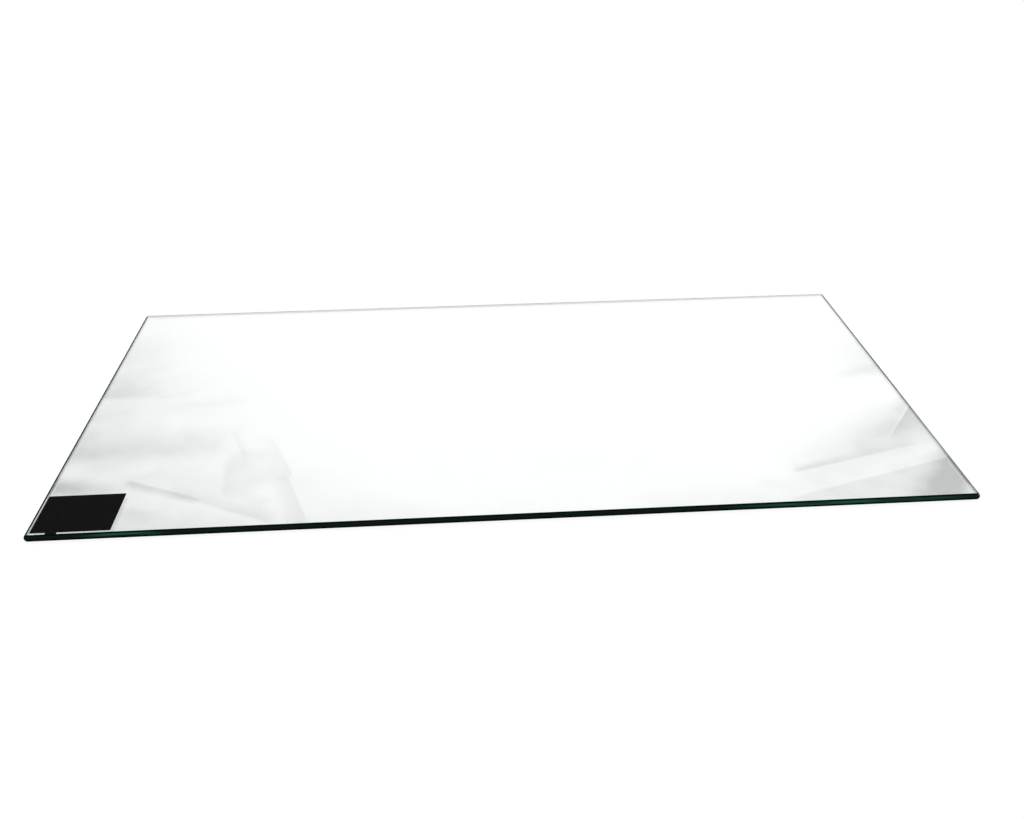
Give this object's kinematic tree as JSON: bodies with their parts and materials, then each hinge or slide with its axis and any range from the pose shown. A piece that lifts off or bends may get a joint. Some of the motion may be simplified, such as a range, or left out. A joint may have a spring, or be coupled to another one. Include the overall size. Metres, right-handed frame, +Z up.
{
  "type": "oven door inner glass",
  "caption": "Flat rectangular pane of clear toughened glass with a rounded ground edge and a plain black printed patch near a corner, the inner window of an oven door.",
  "frame": {"origin": "centre of the pane's lower face, which it lies on", "axes": "+X along the long side towards the right, +Y towards the far long side, +Z up through the thickness; the black patch is in the -X, -Y corner of the upper face"},
  "size_m": [0.53, 0.27, 0.0041],
  "materials": {
    "clear_glass": "polished",
    "black_enamel": "matte"
  },
  "bodies": {
    "root": {"glass_pane": "clear_glass", "corner_print": "black_enamel"}
  },
  "joints": []
}
